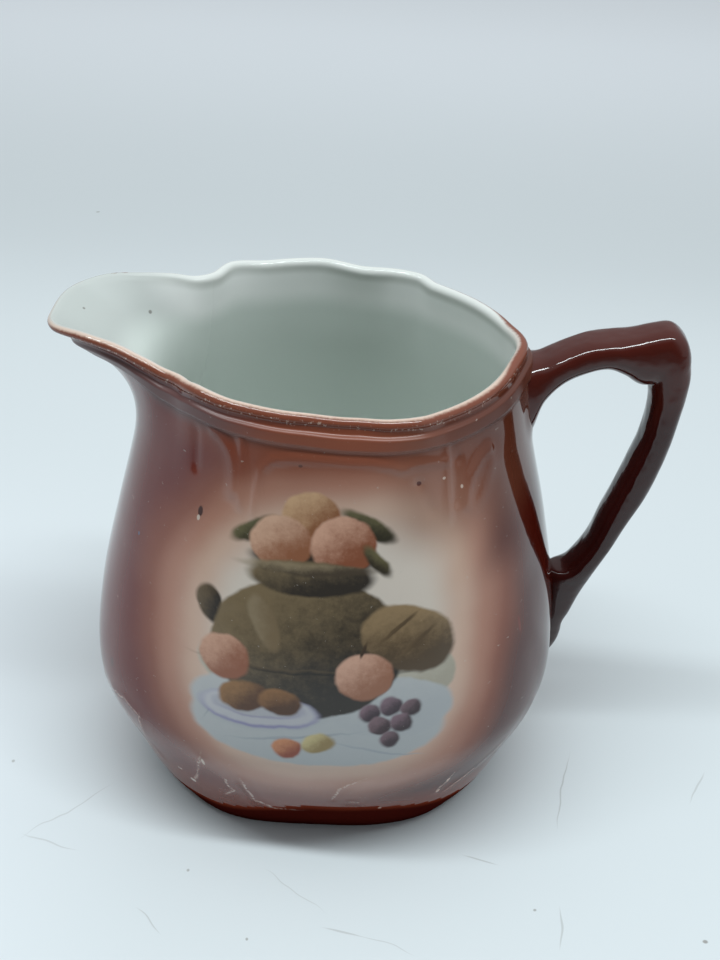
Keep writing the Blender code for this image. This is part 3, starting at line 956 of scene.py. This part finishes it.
def deeper_ground(g, body, from_axis, z, oval, around, depth):
    """Adds the deeper right side, the brown neck, the darker low body, and a painted grey reflection of
    the pale room on the band under the lip.
    """
    right = g.both(g.step(from_axis, *RIGHT_X), g.step(z, *RIGHT_Z))
    body = g.mix(g.both(right, RIGHT_SHARE), body, MAROON_RIGHT)
    neck = g.both(g.step(z, *NECK_Z), g.step(from_axis, *NECK_X), g.step(oval, *NECK_OVAL))
    body = g.mix(g.both(neck, NECK_SHARE), body, NECK_BROWN)
    body = g.mix(g.step(z, *LOW_Z), body, LOW_BROWN)
    # Painted reflection: grey mixed over the band under the lip, towards the spout
    painted_reflection = g.both(g.step(depth, *PAINTED_REFLECTION_GREY_TOP), g.step(depth, *PAINTED_REFLECTION_GREY_END), g.step(around, *PAINTED_REFLECTION_GREY_AROUND))
    body = g.mix(g.both(painted_reflection, PAINTED_REFLECTION_GREY_SHARE), body, PAINTED_REFLECTION_GREY)
    side_neck = g.both(g.step(from_axis, *SIDE_NECK_X), g.step(z, *SIDE_NECK_Z))
    return g.mix(g.both(side_neck, SIDE_NECK_SHARE), body, SIDE_NECK_BROWN)


def worn_scrolls(g, body, bent, rubbed):
    """Pale worn strokes along the moulded scrolls."""
    for line in FOOT_SCROLLS:
        bent = g.after(bent, body)
        for (a0, z0), (a1, z1) in zip(line, line[1:]):
            middle_point = ((a0 + a1) / 2, (z0 + z1) / 2)
            half = (math.hypot(a1 - a0, z1 - z0) / 2 + 0.3, SCROLL_HALF)
            own = g.oval(bent, middle_point, half, math.degrees(math.atan2(z1 - z0, a1 - a0)))
            stroke = g.both(g.step(g.vector("LENGTH", own), *SCROLL_EDGE), rubbed)
            body = g.mix(stroke, body, SCROLL_PALE)
    return body


def small_marks(g, body, spot, front):
    """Specks and scratches in the outside glaze."""
    for count, (degrees, height, half_width, half_height, tint) in enumerate(MARKS):
        if count % GROUP == 0:
            spot = g.after(spot, body)
        own = g.oval(spot, (degrees, height), (half_width, half_height))
        inside = g.step(g.vector("LENGTH", own), *MARK_EDGE)
        body = g.mix(g.both(inside, front), body, tint)
    return body


def lip_over(g, body, where, grain, from_axis, y, turn, depth, around, grip):
    """Lays the brown lip, its worn specks, the cream edge and the white inside over the body; the inside
    gets painted light under the rim and painted shade deeper down and in the spout.
    """
    bead = g.both(g.step(depth, *LIP_DEPTH), g.math("SUBTRACT", 1.0, grip))
    body = g.mix(bead, body, LIP_BROWN)
    worn = g.both(g.step(grain, *WORN_GRAIN), bead, g.step(turn, *WORN_TURN))
    body = g.mix(g.both(worn, WORN_SHARE), body, LIP_WORN)
    far_left = g.both(g.step(y, *FAR_Y), g.step(from_axis, *FAR_X))
    chips = g.both(g.step(g.noise(where, 0.30, 3.0), *CHIP_NOISE), g.step(around, *CHIP_AROUND))
    moved = g.math("MULTIPLY_ADD", g.step(around, *HANDLE_AROUND), HANDLE_MOVE, LIP_MOVE)
    moved = g.math("MULTIPLY_ADD", far_left, g.math("MULTIPLY_ADD", chips, CHIP_MOVE, FAR_MOVE), moved)
    rim = g.math("SUBTRACT", g.math("ADD", turn, g.centred(grain, LIP_GRAIN)), moved)
    # Painted light under the rim, painted shade in the spout and deeper down
    upper = g.mix(g.step(depth, *UPPER_DEPTH), EDGE_WHITE, UPPER_PAINTED_LIGHT_WHITE)
    spout = g.mix(g.step(around, *SPOUT_AROUND), SPOUT_PAINTED_SHADE_WHITE, upper)
    white = g.mix(g.step(depth, *SPOUT_PAINTED_SHADE_WHITE_DEPTH), upper, spout)
    white = g.mix(g.step(depth, *DEEP_DEPTH), white, DEEP_PAINTED_SHADE_WHITE)
    cream = g.mix(g.both(g.step(rim, *CREAM_RIM), g.step(y, *CREAM_Y)), white, LIP_CREAM)
    return g.mix(g.step(rim, *LIP_EDGE), body, cream)


def gloss(g, shader, where, grain, turn, depth, around, grip, specular):
    """Sets the glaze's roughness, highlight strength and ripple."""
    dull = g.both(g.step(turn, *DULL_TURN), g.step(around, *DULL_AROUND))
    outside = g.both(g.step(turn, *BAND_TURN), g.step(grip, *BAND_TURN))
    band_zone = g.both(g.step(depth, *BAND_TOP_DEPTH), g.step(depth, *BAND_END_DEPTH), outside)
    dull = g.math("MAXIMUM", dull, g.both(band_zone, BAND_DULL))
    smooth = g.math("MULTIPLY_ADD", g.noise(where, 0.2), UNEVEN_ROUGHNESS, SMOOTH_ROUGHNESS)
    g.put(shader.inputs["Roughness"], g.math("MULTIPLY_ADD", dull, DULL_ROUGHNESS, smooth))
    shader.inputs["IOR"].default_value = GLAZE_IOR
    shader.inputs["Specular IOR Level"].default_value = specular
    ripple = g.nodes.new("ShaderNodeBump")
    ripple.inputs["Distance"].default_value = RIPPLE_DEPTH
    ripple.inputs["Strength"].default_value = RIPPLE_STRENGTH
    waves = g.both(g.noise(where, 0.20, 1.0), GRIP_WAVES)
    uneven = g.math("ADD", waves, g.both(grain, GRIP_GRAIN))
    g.put(ripple.inputs["Height"], g.math("MULTIPLY_ADD", uneven, grip, g.noise(where, 0.09, 2.0)))
    g.put(shader.inputs["Normal"], ripple.outputs[0])


def glaze(name, specular):
    material, g, shader = new_material(name)
    where, x, y, z = g.place()
    turn, depth, around, under, along, grip = [g.attribute(value) for value in VALUES]
    from_axis = g.math("SUBTRACT", x, AXIS_X * 1000)
    front = g.step(y, *FRONT_Y)
    soft = g.noise(where, 0.035, 2.0)
    grain = g.noise(where, 1.1, 4.0, 0.6)

    body, oval = sprayed_ground(g, from_axis, z, soft)
    body = deeper_ground(g, body, from_axis, z, oval, around, depth)
    body = g.mix(front, body, paint(g, g.combine(from_axis, z, 0.0), body))
    spot = g.combine(around, z, 0.0)
    bent = g.vector("ADD", spot, g.vector("MULTIPLY", g.wander(where, 0.35), SCROLL_BEND))
    body = worn_scrolls(g, body, bent, g.both(g.step(grain, *SCROLL_RUBBED), front, SCROLL_SHARE))
    body = small_marks(g, body, spot, front)

    left_fall = g.both(g.step(around, *FOOT_LEFT_AROUND), FOOT_LEFT_FALL)
    right_fall = g.both(g.step(around, *FOOT_RIGHT_AROUND), FOOT_RIGHT_FALL)
    above = g.math("ADD", g.math("ADD", z, left_fall), right_fall)
    soft_start, soft_end = FOOT_SOFT
    body = g.mix(g.step(above, FOOT_TOP + soft_start, FOOT_TOP + soft_end), body, FOOT_MAROON)
    body = g.mix(grip, body, g.mix(g.step(along, *LEG_ALONG), HANDLE_MAROON, LEG_MAROON))

    colour = lip_over(g, body, where, grain, from_axis, y, turn, depth, around, grip)
    colour = g.mix(under, colour, UNDER_WHITE)
    for point, radius in SPECKS:
        near = g.vector("LENGTH", g.vector("SUBTRACT", where, point))
        colour = g.mix(g.step(near, radius, radius * 0.5), colour, SPECK_GREY)
    g.put(shader.inputs["Base Color"], colour)
    gloss(g, shader, where, grain, turn, depth, around, grip, specular)
    return material


# Table: two close tones, with painted light making it paler far off and on the left, and painted shade a
# little darker from 240 mm behind and at the front edge
FLOOR_REACH = 3.0
FLOOR_TONES = ((0.66, 0.71, 0.735), (0.69, 0.74, 0.765))
# Painted shade: the floor a little darker from 240 mm behind
FLOOR_BAND_PAINTED_SHADE = (0.10, 0.11, 0.12)
FLOOR_BAND_PAINTED_SHADE_Y = (240.0, 380.0)
FLOOR_BAND_PAINTED_SHADE_SHARE = 0.09
# Painted light: paler floor far off
FLOOR_FAR_PAINTED_LIGHT = (0.90, 0.95, 1.0)
FLOOR_FAR_PAINTED_LIGHT_Y = (380.0, 900.0)
# Painted light: paler floor on the left
FLOOR_LEFT_PAINTED_LIGHT = (0.75, 0.80, 0.84)
FLOOR_LEFT_PAINTED_LIGHT_X = (-40.0, -160.0)
FLOOR_LEFT_PAINTED_LIGHT_Y = (160.0, 0.0)
# Painted shade: near-black floor at the front edge, seen dark in the glaze's reflections
FLOOR_FRONT_PAINTED_SHADE = (0.16, 0.165, 0.17)
FLOOR_FRONT_PAINTED_SHADE_Y = (-190.0, -420.0)
FLOOR_ROUGHNESS = 0.4
FLOOR_MARK_GREY = (0.34, 0.34, 0.33)
FLOOR_MARK_EDGE = (1.3, 0.6)
FLOOR_MARK_BEND = (5.0, 5.0, 0.0)

# Faint scratches and specks on the table: ends in millimetres, half width, strength
FLOOR_MARKS = [
    (-80.9, -57.3, -61.4, -37.0, 0.25, 0.30),
    (-80.9, -57.3, -66.6, -60.5, 0.25, 0.30),
    (-45.3, -79.9, -38.3, -86.6, 0.20, 0.40),
    (-12.3, -65.3, 3.7, -76.5, 0.20, 0.30),
    (43.3, -55.8, 52.2, -58.4, 0.25, 0.45),
    (77.6, -14.9, 70.9, -41.4, 0.25, 0.45),
    (68.4, -72.1, 67.8, -83.6, 0.25, 0.40),
    (118.9, -19.3, 112.6, -29.8, 0.30, 0.35),
    (5.4, -82.1, 14.0, -84.7, 0.30, 0.40),
    (14.0, -84.7, 28.6, -89.2, 0.20, 0.30),
    (-14.9, -87.8, -14.9, -87.8, 0.45, 0.80),
    (61.5, -72.9, 61.5, -72.9, 0.45, 0.80),
    (107.4, -80.0, 107.4, -80.0, 0.65, 1.00),
    (-92.7, -29.8, -92.7, -29.8, 0.55, 0.60),
    (-33.6, -66.5, -33.6, -66.5, 0.45, 0.70),
    (-156.7, 404.2, -156.7, 404.2, 1.10, 0.70),
    (146.4, 230.4, 146.4, 230.4, 1.00, 0.50),
]


def floor_finish():
    material, g, shader = new_material("pale_floor")
    where, x, y, z = g.place()
    colour = g.mix(g.noise(where, 0.004, 3.0), *FLOOR_TONES)
    # Painted shade behind the pitcher
    colour = g.mix(g.both(g.step(y, *FLOOR_BAND_PAINTED_SHADE_Y), FLOOR_BAND_PAINTED_SHADE_SHARE), colour, FLOOR_BAND_PAINTED_SHADE)
    # Painted light far off and on the left
    colour = g.mix(g.step(y, *FLOOR_FAR_PAINTED_LIGHT_Y), colour, FLOOR_FAR_PAINTED_LIGHT)
    left = g.both(g.step(x, *FLOOR_LEFT_PAINTED_LIGHT_X), g.step(y, *FLOOR_LEFT_PAINTED_LIGHT_Y))
    colour = g.mix(left, colour, FLOOR_LEFT_PAINTED_LIGHT)
    # Painted shade at the front edge
    colour = g.mix(g.step(y, *FLOOR_FRONT_PAINTED_SHADE_Y), colour, FLOOR_FRONT_PAINTED_SHADE)
    spot = g.combine(g.math("SUBTRACT", x, AXIS_X * 1000), y, 0.0)
    bent = g.vector("ADD", spot, g.vector("MULTIPLY", g.wander(where, 0.06), FLOOR_MARK_BEND))
    for x0, y0, x1, y1, half_width, strength in FLOOR_MARKS:
        half = (math.hypot(x1 - x0, y1 - y0) / 2 + half_width, half_width)
        turn = math.degrees(math.atan2(y1 - y0, x1 - x0))
        own = g.oval(bent, ((x0 + x1) / 2, (y0 + y1) / 2), half, turn)
        faint = g.both(g.step(g.vector("LENGTH", own), *FLOOR_MARK_EDGE), strength)
        colour = g.mix(faint, colour, FLOOR_MARK_GREY)
    g.put(shader.inputs["Base Color"], colour)
    shader.inputs["Roughness"].default_value = FLOOR_ROUGHNESS
    return material


def build_floor():
    mesh = bpy.data.meshes.new("floor")
    reach = FLOOR_REACH
    corners = [(-reach, -reach, 0), (reach, -reach, 0), (reach, reach, 0), (-reach, reach, 0)]
    mesh.from_pydata(corners, [], [(0, 1, 2, 3)])
    floor = bpy.data.objects.new("floor", mesh)
    bpy.context.collection.objects.link(floor)
    mesh.materials.append(floor_finish())


# The room: even and bright, darker towards the front
ROOM_HORIZON = (0.38, 0.395, 0.405)
ROOM_TOP = (0.58, 0.60, 0.61)
ROOM_TOP_Z = (0.0, 0.9)
ROOM_SIDES = 0.2
ROOM_DARK = (0.06, 0.06, 0.065)
DARK_TOWARDS = (0.0, -0.98, 0.20)
DARK_FULL = 30
DARK_EDGE = 62


def build_room():
    world = bpy.data.worlds.new("studio")
    bpy.context.scene.world = world
    world.use_nodes = True
    g = Graph(world.node_tree)
    where = g.nodes.new("ShaderNodeTexCoord").outputs["Generated"]
    x, y, z = g.parts(where)
    toward = g.vector("DOT_PRODUCT", where, DARK_TOWARDS)
    room = g.mix(g.step(z, *ROOM_TOP_Z), ROOM_HORIZON, ROOM_TOP)
    room = g.scale(room, g.math("MULTIPLY_ADD", x, ROOM_SIDES, 1.0))
    dark = g.step(toward, math.cos(math.radians(DARK_EDGE)), math.cos(math.radians(DARK_FULL)))
    g.put(g.nodes["Background"].inputs["Color"], g.mix(dark, room, ROOM_DARK))


# One long narrow light overhead, a little in front
STRIP_PLACE = (-0.02, -0.24, 1.25)
STRIP_TARGET = (0.0, 0.0, 0.05)
STRIP_LENGTH = 1.7
STRIP_WIDTH = 0.10
STRIP_WATTS = 15.0
STRIP_COLOUR = (0.90, 0.98, 1.0)


def build_strip():
    lamp = bpy.data.lights.new("top_strip", "AREA")
    lamp.shape = "RECTANGLE"
    lamp.size = STRIP_LENGTH
    lamp.size_y = STRIP_WIDTH
    lamp.energy = STRIP_WATTS
    lamp.color = STRIP_COLOUR
    thing = bpy.data.objects.new("top_strip", lamp)
    thing.location = STRIP_PLACE
    bpy.context.collection.objects.link(thing)
    direction = Vector(STRIP_TARGET) - thing.location
    thing.rotation_euler = direction.to_track_quat("-Z", "Y").to_euler()


# The photograph's camera, fitted to the foot, the lip and the spout
CAMERA_ELEVATION = 33.57
CAMERA_ROLL = 3.28
CAMERA_DISTANCE = 0.3529
CAMERA_TARGET = Vector((AXIS_X + 0.0076, 0.0, 0.0891))
CAMERA_FOCAL = 1250
IMAGE_HEIGHT = 960
SENSOR_HEIGHT = 36.0


def build_camera():
    elevation = math.radians(CAMERA_ELEVATION)
    roll = math.radians(CAMERA_ROLL)
    back = Vector((0.0, -math.cos(elevation), math.sin(elevation)))
    right = Vector((1.0, 0.0, 0.0))
    up = back.cross(right)
    tilted_right = math.cos(roll) * right + math.sin(roll) * up
    tilted_up = -math.sin(roll) * right + math.cos(roll) * up
    camera = bpy.data.cameras.new("camera")
    camera.sensor_fit = "VERTICAL"
    camera.sensor_height = SENSOR_HEIGHT
    camera.lens = CAMERA_FOCAL * SENSOR_HEIGHT / IMAGE_HEIGHT
    camera.clip_start = 0.01
    thing = bpy.data.objects.new("camera", camera)
    turn = Matrix((tilted_right, tilted_up, back)).transposed()
    place = Matrix.Translation(CAMERA_TARGET + CAMERA_DISTANCE * back)
    thing.matrix_world = place @ turn.to_4x4()
    bpy.context.collection.objects.link(thing)
    bpy.context.scene.camera = thing


def finish_pitcher(pitcher):
    """Gloss glaze all over, and a matt one on the outside of the foot."""
    pitcher.data.materials.append(glaze("glazed_porcelain", 0.5))
    pitcher.data.materials.append(glaze("matt_foot", 0.0))
    for face in pitcher.data.polygons:
        outward = Vector((face.center.x - AXIS_X, face.center.y, 0))
        degrees = math.degrees(math.atan2(abs(outward.y), -outward.x))
        low = face.center.z * 1000 < foot_top(degrees) + MATT_RISE
        if low and face.normal.dot(outward) > 0:
            face.material_index = 1


pitcher = build_pitcher()
finish_pitcher(pitcher)
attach(pitcher, "root")
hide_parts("pitcher")
build_floor()
build_room()
build_strip()
build_camera()
bpy.context.scene.view_settings.view_transform = "Standard"
